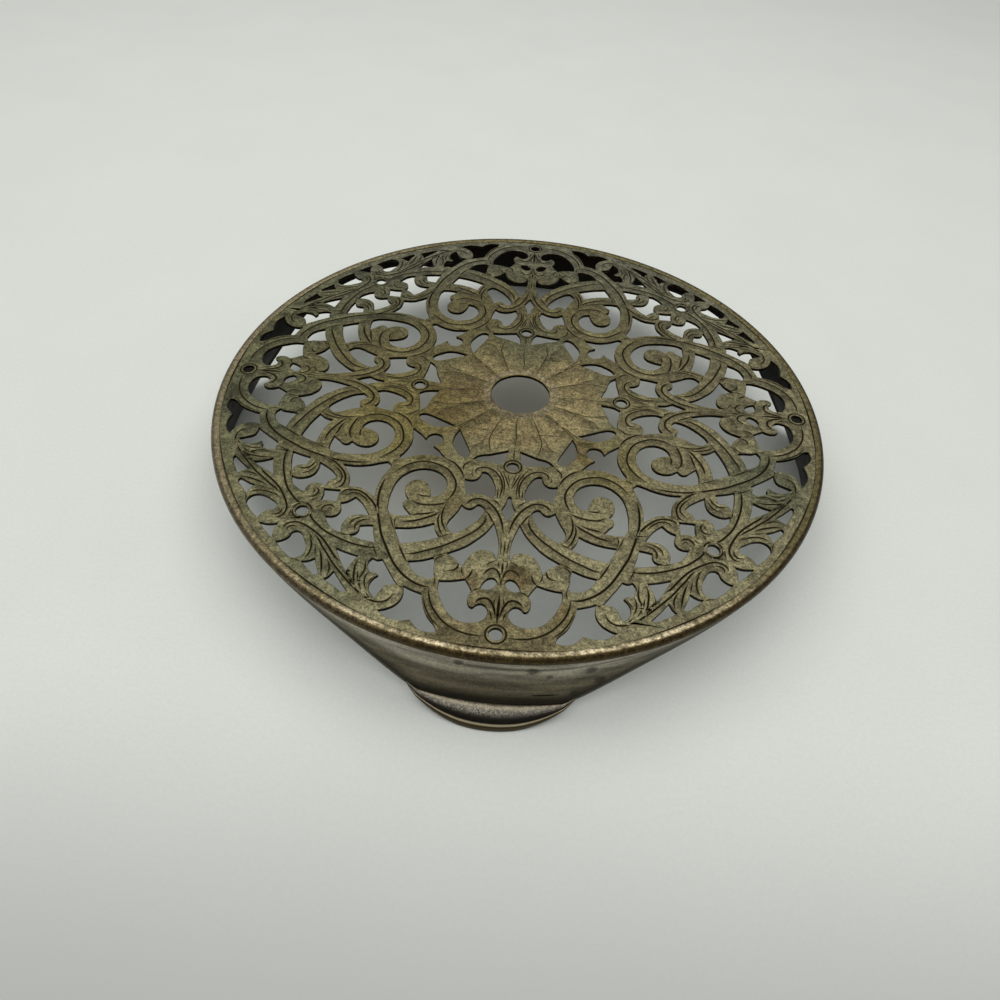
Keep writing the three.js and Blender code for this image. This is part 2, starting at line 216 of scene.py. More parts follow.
# The graver's cuts in one eighth, in the same millimetres. Each is its width and its points,
# and swells from a fine start to a fine end.
CUTS = {
    "petals": (
        (0.26, ((8.3, 8.3), (12.4, 12.0), (15.2, 15.6), (18.0, 18.6), (19.2, 20.6))),
        (0.24, ((4.5, 10.9), (6.2, 15.4), (7.4, 19.2), (8.3, 22.6), (7.7, 27.0), (7.2, 28.6))),
        (0.18, ((7.3, 18.8), (9.4, 21.6), (10.7, 24.6), (13.8, 26.6))),
    ),
    "scroll": (
        (0.45, ((35.5, 41.0), (33.0, 38.2), (30.5, 36.3), (27.5, 35.2), (25.0, 35.3),
                (22.0, 36.2), (19.5, 37.7), (17.7, 40.0), (16.5, 42.6), (16.3, 45.0),
                (16.9, 47.6), (18.2, 50.0))),
        (0.45, ((20.8, 33.2), (18.5, 34.3), (16.6, 36.1), (15.2, 38.2), (14.3, 40.5))),
        (0.4, ((26.8, 48.5), (26.0, 49.0), (24.6, 49.1), (23.2, 48.9))),
        (0.45, ((28.3, 51.0), (26.5, 52.1), (24.0, 52.4), (21.5, 52.0), (19.5, 51.4),
                (18.0, 50.6))),
        (0.45, ((27.6, 56.6), (25.8, 56.1), (23.0, 55.5), (21.0, 54.6))),
        (0.5, ((30.0, 59.3), (27.8, 59.0), (25.5, 58.3), (23.0, 57.0), (21.0, 55.8),
               (19.4, 54.4))),
        (0.42, ((18.1, 51.0), (18.8, 54.0), (18.8, 56.6), (18.1, 59.2), (16.7, 61.6))),
        (0.4, ((19.3, 54.6), (19.8, 56.8), (19.5, 58.8), (18.5, 61.6), (17.6, 62.8))),
        (0.3, ((31.6, 57.6), (31.9, 59.0), (31.5, 61.4))),
    ),
    "petal_band": (
        (0.38, ((12.4, 32.6), (13.9, 34.0), (15.0, 35.7), (14.8, 37.4))),
        (0.4, ((10.9, 38.2), (11.0, 36.7), (9.6, 35.5), (8.0, 35.3), (6.0, 36.0), (4.5, 37.5),
               (3.3, 39.5), (2.6, 42.0), (2.6, 44.4), (3.2, 47.2))),
        (0.34, ((4.7, 35.0), (3.2, 37.6), (2.2, 40.2), (1.9, 43.2), (2.0, 46.2))),
        (0.34, ((2.6, 36.6), (1.8, 38.8), (1.0, 41.0), (0.25, 43.4))),
        (0.28, ((1.2, 37.0), (0.9, 39.0), (0.3, 41.4))),
        (0.32, ((3.6, 43.2), (3.7, 45.4), (3.5, 47.6))),
        (0.3, ((11.9, 37.4), (12.1, 38.6), (11.4, 39.6))),
    ),
    "stem": (
        (0.48, ((12.4, 50.6), (11.6, 49.4), (10.2, 48.4), (8.8, 48.1), (7.0, 48.5), (5.3, 49.8),
                (3.8, 51.5), (2.5, 53.8), (1.5, 56.5), (0.7, 60.2))),
        (0.4, ((5.0, 47.8), (3.6, 48.8), (2.4, 50.6))),
        (0.4, ((6.6, 52.3), (5.4, 53.9), (4.4, 55.8), (3.9, 56.8))),
        (0.45, ((6.2, 54.2), (6.3, 56.2), (7.5, 58.6), (9.4, 60.8), (11.8, 62.8), (14.5, 64.8),
                (17.2, 66.6), (20.0, 68.0), (22.0, 68.9), (24.5, 70.0), (27.0, 70.6))),
        (0.4, ((16.0, 69.0), (17.4, 69.6), (18.9, 70.4))),
        (0.3, ((1.4, 61.6), (1.0, 64.8), (1.0, 67.4))),
        (0.34, ((18.6, 63.5), (17.0, 62.8), (15.3, 61.9))),
        (0.3, ((19.0, 63.3), (20.6, 62.8), (21.6, 63.6))),
    ),
    "crossing_band": (
        (0.5, ((37.6, 43.6), (38.1, 47.0), (38.2, 50.4), (37.8, 54.0), (37.0, 57.4),
               (35.9, 61.0), (34.6, 64.8), (33.0, 67.9), (31.1, 71.4), (29.3, 74.2),
               (27.3, 76.5), (25.3, 78.2), (23.3, 79.4), (21.0, 80.3), (18.6, 80.5))),
        (0.34, ((33.5, 57.6), (32.6, 60.0), (31.4, 62.6))),
        (0.4, ((29.4, 67.2), (28.4, 69.2), (27.1, 71.5), (25.9, 73.4))),
        (0.36, ((36.4, 68.0), (35.4, 70.4), (34.2, 72.6))),
        (0.34, ((27.0, 80.9), (26.2, 81.3), (25.5, 81.0))),
    ),
    "palmette": (
        (0.42, ((5.0, 75.0), (4.3, 73.7), (3.2, 72.7), (2.2, 72.6), (1.2, 73.3), (0.5, 74.8),
               (0.4, 76.2))),
        (0.5, ((6.2, 84.0), (5.4, 82.9), (4.1, 82.3), (2.8, 82.5), (1.7, 83.8), (1.0, 85.6),
               (0.5, 88.0))),
        (0.42, ((18.9, 80.6), (18.4, 83.4), (17.4, 86.0), (15.9, 88.2), (14.1, 90.2),
                (12.0, 91.7), (9.4, 92.9), (6.4, 93.5), (2.9, 93.5))),
        (0.36, ((20.0, 83.2), (19.2, 86.0), (17.9, 88.6), (16.2, 90.8), (14.1, 92.4))),
        (0.42, ((12.0, 71.6), (12.2, 73.2), (13.1, 74.3), (14.8, 74.6))),
        (0.36, ((15.9, 69.8), (17.2, 70.2), (18.3, 71.2), (18.8, 72.6))),
        (0.42, ((9.8, 76.8), (8.9, 76.0), (8.3, 74.8), (8.1, 73.4))),
        (0.36, ((11.0, 73.0), (10.9, 74.4), (10.2, 76.0))),
        (0.4, ((7.5, 80.4), (6.5, 79.8), (5.4, 79.4))),
        (0.34, ((2.0, 69.8), (3.4, 70.6), (4.6, 71.6))),
        (0.32, ((1.1, 69.8), (1.2, 71.2), (0.8, 72.4))),
        (0.34, ((0.9, 81.6), (1.3, 83.0), (1.0, 84.4))),
        (0.4, ((2.4, 85.6), (1.8, 87.0), (1.4, 88.8))),
        (0.32, ((17.9, 77.0), (17.6, 78.6), (18.0, 80.2))),
    ),
    "outer_stem": (
        (0.45, ((35.2, 69.4), (37.6, 69.4), (40.2, 69.1), (43.2, 68.4), (46.0, 67.4),
                (48.6, 66.3), (51.0, 65.0), (53.1, 63.3), (55.0, 61.5), (56.0, 60.0),
                (56.1, 58.0))),
        (0.45, ((62.3, 65.6), (61.8, 64.4), (60.4, 63.4), (58.4, 63.2), (56.5, 63.9),
                (54.5, 65.0), (52.5, 66.3), (50.5, 68.0), (48.5, 70.2), (46.5, 72.7),
                (44.3, 75.3), (42.2, 77.8), (40.3, 80.3), (38.3, 83.0))),
        (0.42, ((53.0, 66.7), (51.4, 68.5), (49.8, 70.8), (48.0, 73.0), (46.0, 75.6),
                (43.5, 78.2), (41.0, 80.7), (38.5, 82.9), (36.0, 84.9), (33.4, 86.2))),
        (0.42, ((60.9, 66.6), (61.0, 65.4), (60.0, 64.6), (58.4, 64.4))),
    ),
    "leaf": (
        (0.45, ((45.4, 74.4), (43.0, 76.6), (40.6, 79.4), (38.4, 82.0))),
        (0.4, ((41.6, 77.2), (41.2, 79.0), (40.2, 81.0))),
        (0.42, ((39.2, 73.6), (39.6, 76.0), (39.4, 78.4), (39.0, 80.6), (38.4, 82.2))),
        (0.42, ((38.6, 77.6), (38.1, 79.6), (37.4, 81.6), (36.4, 83.4))),
        (0.4, ((37.2, 74.0), (36.8, 76.0), (37.0, 78.0), (37.7, 80.0), (37.6, 81.6))),
        (0.36, ((35.6, 77.4), (36.2, 79.2), (36.0, 81.4), (35.2, 83.2))),
        (0.4, ((36.8, 84.4), (34.4, 85.9), (32.0, 86.6), (30.2, 86.4), (28.7, 85.4),
               (27.9, 83.6))),
        (0.32, ((35.0, 84.0), (34.4, 84.9), (33.6, 85.5))),
        (0.32, ((33.6, 78.6), (34.7, 80.0), (35.2, 81.6))),
    ),
    "bean_leaf": (
        (0.4, ((54.2, 67.6), (53.3, 69.3), (52.8, 71.4), (53.0, 73.8), (53.6, 75.2))),
        (0.36, ((51.8, 70.4), (51.4, 72.4), (50.9, 74.4))),
        (0.45, ((50.4, 71.6), (49.5, 73.6), (48.9, 75.5), (48.4, 77.5), (48.1, 79.6))),
        (0.4, ((47.6, 74.6), (46.7, 76.2), (46.2, 78.0), (46.4, 80.2))),
        (0.34, ((54.8, 66.4), (53.8, 67.6), (52.8, 69.0))),
        (0.3, ((57.6, 75.6), (55.6, 75.9), (54.4, 76.6))),
    ),
    "square_curls": (
        (0.45, ((49.2, 51.2), (48.4, 49.9), (46.9, 49.3), (45.0, 49.3), (43.0, 50.0),
                (41.0, 51.6), (39.2, 53.5), (37.9, 55.4), (36.9, 57.4))),
        (0.38, ((47.6, 51.9), (46.8, 50.9), (45.3, 50.3), (43.6, 50.8), (41.8, 52.1),
                (40.2, 54.0))),
        (0.42, ((53.3, 58.4), (53.2, 57.0), (52.1, 56.0), (50.7, 55.9), (49.6, 56.9))),
        (0.36, ((51.8, 57.8), (51.2, 57.0), (50.2, 57.4))),
        (0.42, ((42.2, 64.2), (42.6, 62.6), (42.0, 61.0), (40.7, 60.1), (39.0, 59.6))),
        (0.38, ((44.4, 62.6), (43.9, 60.9), (42.4, 59.6), (40.4, 58.9))),
        (0.32, ((55.4, 53.6), (56.6, 54.2), (57.0, 55.6))),
        (0.34, ((46.6, 65.4), (45.2, 65.7), (43.9, 66.1))),
        (0.34, ((57.6, 60.6), (58.6, 61.6), (60.2, 61.8), (62.0, 62.0))),
    ),
}
CUTS_ON_AXIS = (
    (0.24, ((0.0, 11.8), (0.3, 16.0), (-0.2, 21.0), (0.0, 26.4))),
    (0.36, ((0.0, 26.8), (0.0, 29.0), (0.0, 31.6))),
    (0.5, ((0.0, 70.2), (0.0, 72.2), (0.0, 74.0))),
    (0.42, ((0.0, 75.4), (0.0, 76.6), (0.0, 77.8))),
    (0.6, ((0.0, 80.8), (0.0, 83.6), (0.0, 87.0), (0.0, 89.6))),
    (0.36, ((0.0, 62.8), (0.0, 65.4), (0.0, 68.0))),
)
CUTS_ON_DIAGONAL = (
    (0.36, ((35.4, 35.4), (36.0, 36.0), (36.8, 36.8))),
    (0.34, ((43.6, 46.2), (45.8, 47.4), (47.4, 45.8), (46.2, 43.6))),
)
RING_LINE_RADIUS = 2.7
RING_LINE_WIDTH = 0.4


class TrivetSizes(bpy.types.PropertyGroup):
    """Sizes that the model can be remade with"""

    plate_chamfer: bpy.props.FloatProperty(
        name="Plate chamfer", description="Broken edge round each opening",
        default=0.12 * MM, min=0.02 * MM, max=0.12 * MM, unit="LENGTH", precision=5)
    cut_scale: bpy.props.FloatProperty(
        name="Cut width", description="Width of the engraved cuts, as a share of the drawn width",
        default=1.6, min=0.3, max=3.0)
    cut_slope: bpy.props.FloatProperty(
        name="Cut slope", description="Depth of a cut as a share of half its width",
        default=0.5, min=0.2, max=1.5)
    bead_width: bpy.props.FloatProperty(
        name="Bead width", description="Width of the rim's bead outside the plate",
        default=2.9 * MM, min=MM, max=6 * MM, unit="LENGTH", precision=5)
    ledge_width: bpy.props.FloatProperty(
        name="Ledge width", description="Width of the ledge that the plate rests on",
        default=1.2 * MM, min=0.5 * MM, max=4 * MM, unit="LENGTH", precision=5)
    skirt_wall: bpy.props.FloatProperty(
        name="Skirt wall", description="Thickness of the skirt's wall",
        default=1.8 * MM, min=MM, max=4 * MM, unit="LENGTH", precision=5)
    skirt_flare: bpy.props.FloatProperty(
        name="Skirt flare", description="How far the wall flares out above the foot moulding",
        default=2.9 * MM, min=0, max=5 * MM, unit="LENGTH", precision=5)
    toe_height: bpy.props.FloatProperty(
        name="Toe height", description="Height of the foot moulding",
        default=4.9 * MM, min=2 * MM, max=8 * MM, unit="LENGTH", precision=5)
    toe_sweep: bpy.props.FloatProperty(
        name="Toe sweep", description="Angle to each side in which the toe draws in to the wall",
        default=math.radians(13), min=math.radians(5), max=math.radians(40), subtype="ANGLE")
    arch_band: bpy.props.FloatProperty(
        name="Arch band", description="Height of the skirt left over the middle of an arch",
        default=1.8 * MM, min=0.5 * MM, max=10 * MM, unit="LENGTH", precision=5)
    foot_flat: bpy.props.FloatProperty(
        name="Foot flat", description="Angle through which a foot touches the table",
        default=math.radians(8), min=0, max=math.radians(30), subtype="ANGLE")


def colour_property(name, description, value):
    return bpy.props.FloatVectorProperty(
        name=name, description=description, default=value, size=3, min=0, max=1,
        subtype="COLOR")


class TrivetColours(bpy.types.PropertyGroup):
    """Colours of the metals and the floor"""

    patina: colour_property("Patina", "Olive patina of the plate", (0.118, 0.102, 0.044))
    worn_patina: colour_property("Worn patina", "Where the patina is thin", (0.180, 0.162, 0.092))
    dusty_patina: colour_property("Dusty patina", "Greyed at the back", (0.150, 0.150, 0.112))
    verdigris: colour_property("Verdigris", "Green patches in the patina", (0.092, 0.098, 0.056))
    yellowed: colour_property("Yellowed", "Yellow patches in the patina", (0.150, 0.122, 0.035))
    handled_brass: colour_property("Handled brass", "Tan of the flower", (0.235, 0.188, 0.090))
    # At the skirt's lip this brown also stands for painted shade.
    brown: colour_property("Brown", "Brown stains", (0.092, 0.064, 0.024))
    # grime_and_shade: real grime in the cuts, the rim's seam and the skirt's marks; painted shade
    # on the walls of the openings, in the skirt's crease and inside it; painted dark reflections on
    # the skirt's wall and toe.
    grime_and_shade: colour_property("Grime", "Dark of the cuts and the walls", (0.008, 0.006, 0.003))
    # At the bead's front crest this brass also stands for a painted highlight.
    brass: colour_property("Brass", "Bare brass of the crest and the lip", (0.50, 0.42, 0.27))
    # On the top of each toe this plating also stands for a painted highlight.
    plating: colour_property("Plating", "Light plating of the skirt", (0.72, 0.665, 0.54))
    # tarnish_and_shade: dull plating, also used as painted shade on the skirt's wall and toe.
    tarnish_and_shade: colour_property("Tarnish", "Dull plating of the skirt", (0.125, 0.106, 0.068))
    floor: colour_property("Floor", "Pale floor", (0.66, 0.69, 0.64))


# Making meshes


def link(name, mesh):
    piece = bpy.data.objects.new(name, mesh)
    bpy.context.scene.collection.objects.link(piece)
    return piece


def applied(piece):
    """The piece with its modifiers applied."""
    depsgraph = bpy.context.evaluated_depsgraph_get()
    mesh = bpy.data.meshes.new_from_object(piece.evaluated_get(depsgraph))
    name = piece.name
    bpy.data.objects.remove(piece)
    return link(name, mesh)


def welded(piece):
    distance = 1e-4
    shape = bmesh.new()
    shape.from_mesh(piece.data)
    bmesh.ops.remove_doubles(shape, verts=shape.verts, dist=distance)
    bmesh.ops.dissolve_degenerate(shape, edges=shape.edges, dist=distance)
    bmesh.ops.recalc_face_normals(shape, faces=shape.faces)
    shape.to_mesh(piece.data)
    shape.free()
    return piece


def cut_away(piece, cutter):
    """The piece with the cutter's space taken out of it."""
    boolean = piece.modifiers.new("cut", "BOOLEAN")
    boolean.operation = "DIFFERENCE"
    boolean.solver = "MANIFOLD"
    boolean.material_mode = "TRANSFER"
    boolean.object = cutter
    piece = applied(piece)
    bpy.data.objects.remove(cutter)
    return without_slivers(piece)


def without_slivers(piece):
    """The piece without the loose two-sided slivers, of no thickness, that a cut can leave."""
    shape = bmesh.new()
    shape.from_mesh(piece.data)
    slivers = [face for face in shape.faces
               if len({other for edge in face.edges for other in edge.link_faces}) == 2]
    bmesh.ops.delete(shape, geom=slivers, context="FACES")
    shape.to_mesh(piece.data)
    shape.free()
    return piece


def finished(piece, node, sharp_angle):
    """Sets a piece in the solids' frame, in metres, in place of its node."""
    piece.data.transform(Matrix.Scale(MM, 4))
    piece.data.shade_smooth()
    piece.data.set_sharp_from_angle(angle=math.radians(sharp_angle))
    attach(piece, "root")
    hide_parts(node)
    return piece


def lofted_ring(name, section_at, steps):
    """Joins closed sections of (radius, height) points, one for each step round the vertical axis.

    A section's third figure is its point's place along the profile, kept for the material. On
    the skirt it runs from 0 to 1 down the wall, to 2 across the toe, to 3 round the lip, and is
    4 inside.
    """
    sections = [section_at(2 * math.pi * step / steps) for step in range(steps)]
    count = len(sections[0])
    shape = bmesh.new()
    profile = shape.verts.layers.float.new("profile")
    bmesh.ops.create_grid(shape, x_segments=steps, y_segments=count, size=0.5)
    for vert in shape.verts:
        step = round((vert.co.x + 0.5) * steps)
        corner = round((vert.co.y + 0.5) * count)
        radius, height, place = sections[step % steps][corner % count]
        angle = 2 * math.pi * step / steps
        vert.co = (radius * math.cos(angle), radius * math.sin(angle), height)
        vert[profile] = place
    bmesh.ops.remove_doubles(shape, verts=shape.verts, dist=1e-5)
    bmesh.ops.recalc_face_normals(shape, faces=shape.faces)
    mesh = bpy.data.meshes.new(name)
    shape.to_mesh(mesh)
    shape.free()
    return link(name, mesh)


# Drawing the pattern

QUARTER_TURNS = [Matrix.Rotation(quarter * math.pi / 2, 4, "Z") for quarter in range(4)]
ACROSS_AXIS = Matrix.Diagonal((-1, 1, 1, 1))
EIGHTHS = [turn @ side for turn in QUARTER_TURNS for side in (Matrix.Identity(4), ACROSS_AXIS)]


def marked(rows):
    """Points of rows, each with whether it is a corner."""
    return [(point, index == 0) for row in rows for index, point in enumerate(row)]


def folded(rows, mirrored):
    """A whole outline from one half of it, whose first and last points are on the mirror line."""
    half = marked(rows)
    other = [(mirrored(point), corner) for point, corner in half[-2:0:-1]]
    return half + other


def flat_curve(name):
    curve = bpy.data.curves.new(name, "CURVE")
    curve.dimensions = "2D"
    curve.fill_mode = "BOTH"
    return curve


def add_outline(curve, points, placing, resolution):
    spline = curve.splines.new("BEZIER")
    spline.bezier_points.add(len(points) - 1)
    for knot, (point, corner) in zip(spline.bezier_points, points):
        knot.co = placing @ Vector((*point, 0))
        kind = "VECTOR" if corner else "AUTO"
        knot.handle_left_type = kind
        knot.handle_right_type = kind
    spline.use_cyclic_u = True
    spline.resolution_u = resolution


def circle_points(x, y, radius):
    count = 12
    return [((x + radius * math.cos(2 * math.pi * step / count),
              y + radius * math.sin(2 * math.pi * step / count)), False)
            for step in range(count)]


def ring_centres():
    offset = RING_ON_DIAGONAL * math.sqrt(0.5)
    return [(0, distance) for distance in RINGS_ON_AXIS] + [(offset, offset)]


def pierced_plate(chamfer):
    """The plate with all its openings, each with a broken edge."""
    curve = flat_curve("plate_outline")
    thickness = PLATE_HIGH.z - PLATE_LOW.z
    curve.extrude = thickness / 2 - chamfer
    curve.bevel_depth = chamfer
    curve.bevel_resolution = 0
    curve.offset = -chamfer
    add_outline(curve, circle_points(0, 0, PLATE_HIGH.x), Matrix.Identity(4), 24)
    add_outline(curve, circle_points(0, 0, CENTRE_HOLE_RADIUS), Matrix.Identity(4), 8)
    for placing in EIGHTHS:
        for rows in EIGHTH_OPENINGS.values():
            add_outline(curve, marked(rows), placing, 4)
    for placing in QUARTER_TURNS:
        for rows in DIAGONAL_HALVES.values():
            add_outline(curve, folded(rows, lambda point: (point[1], point[0])), placing, 4)
        for rows in AXIS_HALVES.values():
            add_outline(curve, folded(rows, lambda point: (-point[0], point[1])), placing, 4)
        for x, y in ring_centres():
            add_outline(curve, circle_points(x, y, RING_HOLE_RADIUS), placing, 3)
    plate = applied(link("engraved_plate", curve))
    plate.data.transform(Matrix.Translation((0, 0, (PLATE_HIGH.z + PLATE_LOW.z) / 2)))
    return welded(plate)


def add_cut(curve, width, points, placing, closed=False):
    fine_end = 0.3
    spline = curve.splines.new("BEZIER")
    spline.bezier_points.add(len(points) - 1)
    last = len(points) - 1
    for index, (knot, point) in enumerate(zip(spline.bezier_points, points)):
        knot.co = placing @ Vector((*point, PLATE_HIGH.z))
        knot.handle_left_type = "AUTO"
        knot.handle_right_type = "AUTO"
        end = index in (0, last) and not closed
        knot.radius = width / 2 * (fine_end if end else 1)
    spline.use_cyclic_u = closed
    spline.resolution_u = 3


def graver_cuts(scale, slope):
    """Diamond-section tubes along every cut, centred on the plate's top."""
    curve = bpy.data.curves.new("cuts", "CURVE")
    curve.dimensions = "3D"
    curve.twist_mode = "Z_UP"
    curve.bevel_depth = scale
    curve.bevel_resolution = 0
    curve.use_fill_caps = True
    for placing in EIGHTHS:
        for cuts in CUTS.values():
            for width, points in cuts:
                add_cut(curve, width, points, placing)
    for placing in QUARTER_TURNS:
        for width, points in CUTS_ON_AXIS + CUTS_ON_DIAGONAL:
            add_cut(curve, width, points, placing)
        for x, y in ring_centres():
            circle = [point for point, _ in circle_points(x, y, RING_LINE_RADIUS)]
            add_cut(curve, RING_LINE_WIDTH, circle, placing, closed=True)
    cuts = welded(applied(link("cuts", curve)))
    top = Matrix.Translation((0, 0, PLATE_HIGH.z))
    cuts.data.transform(top @ Matrix.Diagonal((1, 1, slope, 1)) @ top.inverted())
    return cuts


# Shader maths


class Value:
    """A node's output, on which sums are written as expressions."""

    def __init__(self, shader, socket):
        self.shader = shader
        self.socket = socket

    def math(self, operation, first, second=0.0):
        return self.shader.node("ShaderNodeMath", {"operation": operation}, {0: first, 1: second})

    def __add__(self, other):
        return self.math("ADD", self, other)

    __radd__ = __add__

    def __mul__(self, other):
        return self.math("MULTIPLY", self, other)

    __rmul__ = __mul__

    def __sub__(self, other):
        return self.math("SUBTRACT", self, other)

    def __rsub__(self, other):
        return self.math("SUBTRACT", other, self)

    def __pow__(self, other):
        return self.math("POWER", self, other)

    def size(self):
        return self.math("ABSOLUTE", self)

    def above(self, start, end):
        """0 at start, 1 at end, smooth between."""
        return self.shader.node(
            "ShaderNodeMapRange", {"interpolation_type": "SMOOTHSTEP"},
            {"Value": self, "From Min": start, "From Max": end})

    def past(self, start, end):
        """The same, with start and end in millimetres."""
        return self.above(start * MM, end * MM)


class Shader:
    """A material's nodes."""

    def __init__(self, name):
        self.material = bpy.data.materials.new(name)
        self.material.use_nodes = True
        self.tree = self.material.node_tree
        self.tree.nodes.clear()

    def node(self, kind, settings=None, inputs=None, output=0):
        made = self.tree.nodes.new(kind)
        for key, value in (settings or {}).items():
            setattr(made, key, value)
        for key, value in (inputs or {}).items():
            if isinstance(value, Value):
                self.tree.links.new(value.socket, made.inputs[key])
            else:
                made.inputs[key].default_value = value
        return Value(self, made.outputs[output] if made.outputs else None)

    def place(self):
        return self.node("ShaderNodeTexCoord", output="Object")

    def parts(self, vector):
        split = self.tree.nodes.new("ShaderNodeSeparateXYZ")
        self.tree.links.new(vector.socket, split.inputs[0])
        return [Value(self, socket) for socket in split.outputs]

    def joined(self, x, y, z):
        return self.node("ShaderNodeCombineXYZ", None, {0: x, 1: y, 2: z})

    def noise(self, vector, grain, detail=3.0, roughness=0.5, distortion=0.0):
        """Soft noise whose lumps are about the grain's size, in millimetres."""
        return self.node("ShaderNodeTexNoise", None, {
            "Vector": vector, "Scale": 1 / (grain * MM), "Detail": detail,
            "Roughness": roughness, "Distortion": distortion})

    def mixed(self, share, first, second):
        def opaque(colour):
            return colour if isinstance(colour, Value) else (*colour, 1)
        return self.node(
            "ShaderNodeMix", {"data_type": "RGBA", "clamp_factor": True},
            {0: share, 6: opaque(first), 7: opaque(second)}, output=2)

    def scaled(self, colour, share):
        return self.node("ShaderNodeVectorMath", {"operation": "SCALE"}, {0: colour, 3: share})

    def spot(self, place, centre, reach, uneven):
        """1 in the middle of a ragged spot, falling to 0 at its reach, in millimetres."""
        middle = [part * MM for part in centre]
        distance = self.node(
            "ShaderNodeVectorMath", {"operation": "DISTANCE"}, {0: place, 1: middle}, output=1)
        return 1 - (distance + uneven * (0.5 * reach * MM)).past(0.35 * reach, reach)

    def bump(self, height, distance):
        return self.node("ShaderNodeBump", None, {"Height": height, "Distance": distance * MM})

    def metal(self, colour, metallic, roughness, normal):
        surface = self.node("ShaderNodeBsdfPrincipled", None, {
            "Base Color": colour, "Metallic": metallic, "Roughness": roughness,
            "Normal": normal})
        self.node("ShaderNodeOutputMaterial", None, {"Surface": surface})
        return self.material


# Stains of the plate, in millimetres: the middle, the reach and the strength of each.
BROWN_STAINS = (
    ((-19, -7), 21, 0.55), ((4, -75), 6, 0.7), ((17, -85), 5, 0.5), ((-9, -77), 5, 0.5),
    ((22, -25), 7, 0.6), ((-16, -51), 6, 0.4), ((2, -22), 5, 0.3), ((0, -96), 30, 0.5),
)
GREEN_STAINS = (
    ((4, 27), 18, 0.6), ((78, -32), 18, 0.8), ((-62, 48), 34, 0.5), ((-84, -16), 24, 0.5),
    ((-48, -76), 22, 0.4), ((1, -84), 13, 0.5),
)
YELLOW_STAINS = (((-36, -14), 26, 0.6), ((30, -30), 16, 0.4))


def tinted(colour, share):
    return [share * part for part in colour]


def patinated_brass(colours):
    shader = Shader("patinated_brass")
    place = shader.place()
    x, y, z = shader.parts(place)
    from_centre = (x * x + y * y) ** 0.5
    patch = shader.noise(place, grain=7, detail=4, roughness=0.7, distortion=0.8)
    mottle = shader.noise(place, grain=1.7, detail=3, roughness=0.7, distortion=0.4)
    speckle = shader.noise(place, grain=0.55, detail=2, roughness=0.8)
    uneven = patch * 1.4 - 0.7

    handled = (x - y + uneven * (110 * MM)).past(-90, 110)
    outer = from_centre.past(50, 92)
    colour = shader.mixed(outer * 0.6, colours.patina, colours.verdigris)
    colour = shader.mixed(handled * 0.7, colour, colours.worn_patina)
    to_back = outer * (y - 0.25 * x.size()).past(5, 60)
    colour = shader.mixed(to_back * 0.5, colour, colours.dusty_patina)
    in_flower = 1 - (from_centre + uneven * (6 * MM)).past(22, 31)
    colour = shader.mixed(in_flower * (0.4 + 0.6 * handled), colour, colours.handled_brass)

    stains = ((YELLOW_STAINS, colours.yellowed), (GREEN_STAINS, colours.verdigris),
              (BROWN_STAINS, colours.brown))
    for places, tint in stains:
        for (across, along), reach, share in places:
            spot = shader.spot(place, (across, along, PLATE_HIGH.z), reach, uneven)
            colour = shader.mixed(spot * share, colour, tint)
    colour = shader.mixed(patch.above(0.6, 0.75) * 0.5, colour, colours.brown)
    hole_ring = from_centre.past(10.3, 10.8) * (1 - from_centre.past(12, 13))
    ring_grey = tinted(colours.tarnish_and_shade, 1.7)
    colour = shader.mixed(hole_ring * (0.3 + 0.5 * speckle), colour, ring_grey)

    vein = 1 - (patch - 0.5).size().above(0.0, 0.02)
    smudge = (1 - patch.above(0.32, 0.44)) * (1 - in_flower)
    tone = (0.68 + 0.68 * mottle.above(0.3, 0.7)) * (0.55 + 0.9 * speckle.above(0.36, 0.64))
    tone = tone * (1 + outer * (patch.above(0.38, 0.62) * 0.44 - 0.2))
    colour = shader.scaled(colour, tone * (1 - 0.5 * vein * in_flower - 0.4 * smudge))

    top = PLATE_HIGH.z
    chamfer = 1 - z.past(top - 0.12, top - 0.01)
    colour = shader.mixed(chamfer * 0.7, colour, colours.brown)
    # Painted shade: the walls of the openings, between the chamfer and the bottom edge, are painted
    # near-black.
    above_walls = z.past(top - 0.26, top - 0.16)
    back = 1 - z.past(PLATE_LOW.z + 0.05, PLATE_LOW.z + 0.15)
    colour = shader.mixed((1 - above_walls) * (1 - back), colour, colours.grime_and_shade)
    normal = shader.bump(mottle * 0.6 + speckle * 0.35, 0.16)
    return shader.metal(colour, 0.9, 0.42 + 0.2 * mottle, normal)


def engraved_line(colours):
    shader = Shader("engraved_line")
    place = shader.place()
    z = shader.parts(place)[2]
    grit = shader.noise(place, grain=0.6, detail=2, roughness=0.7)
    near_top = z.past(PLATE_HIGH.z - 0.11, PLATE_HIGH.z - 0.005)
    colour = shader.mixed(near_top, colours.grime_and_shade, tinted(colours.patina, 0.8))
    colour = shader.mixed(grit.above(0.55, 0.7) * 0.3, colour, colours.brown)
    return shader.metal(colour, 0.95, 0.6, shader.bump(grit, 0.02))


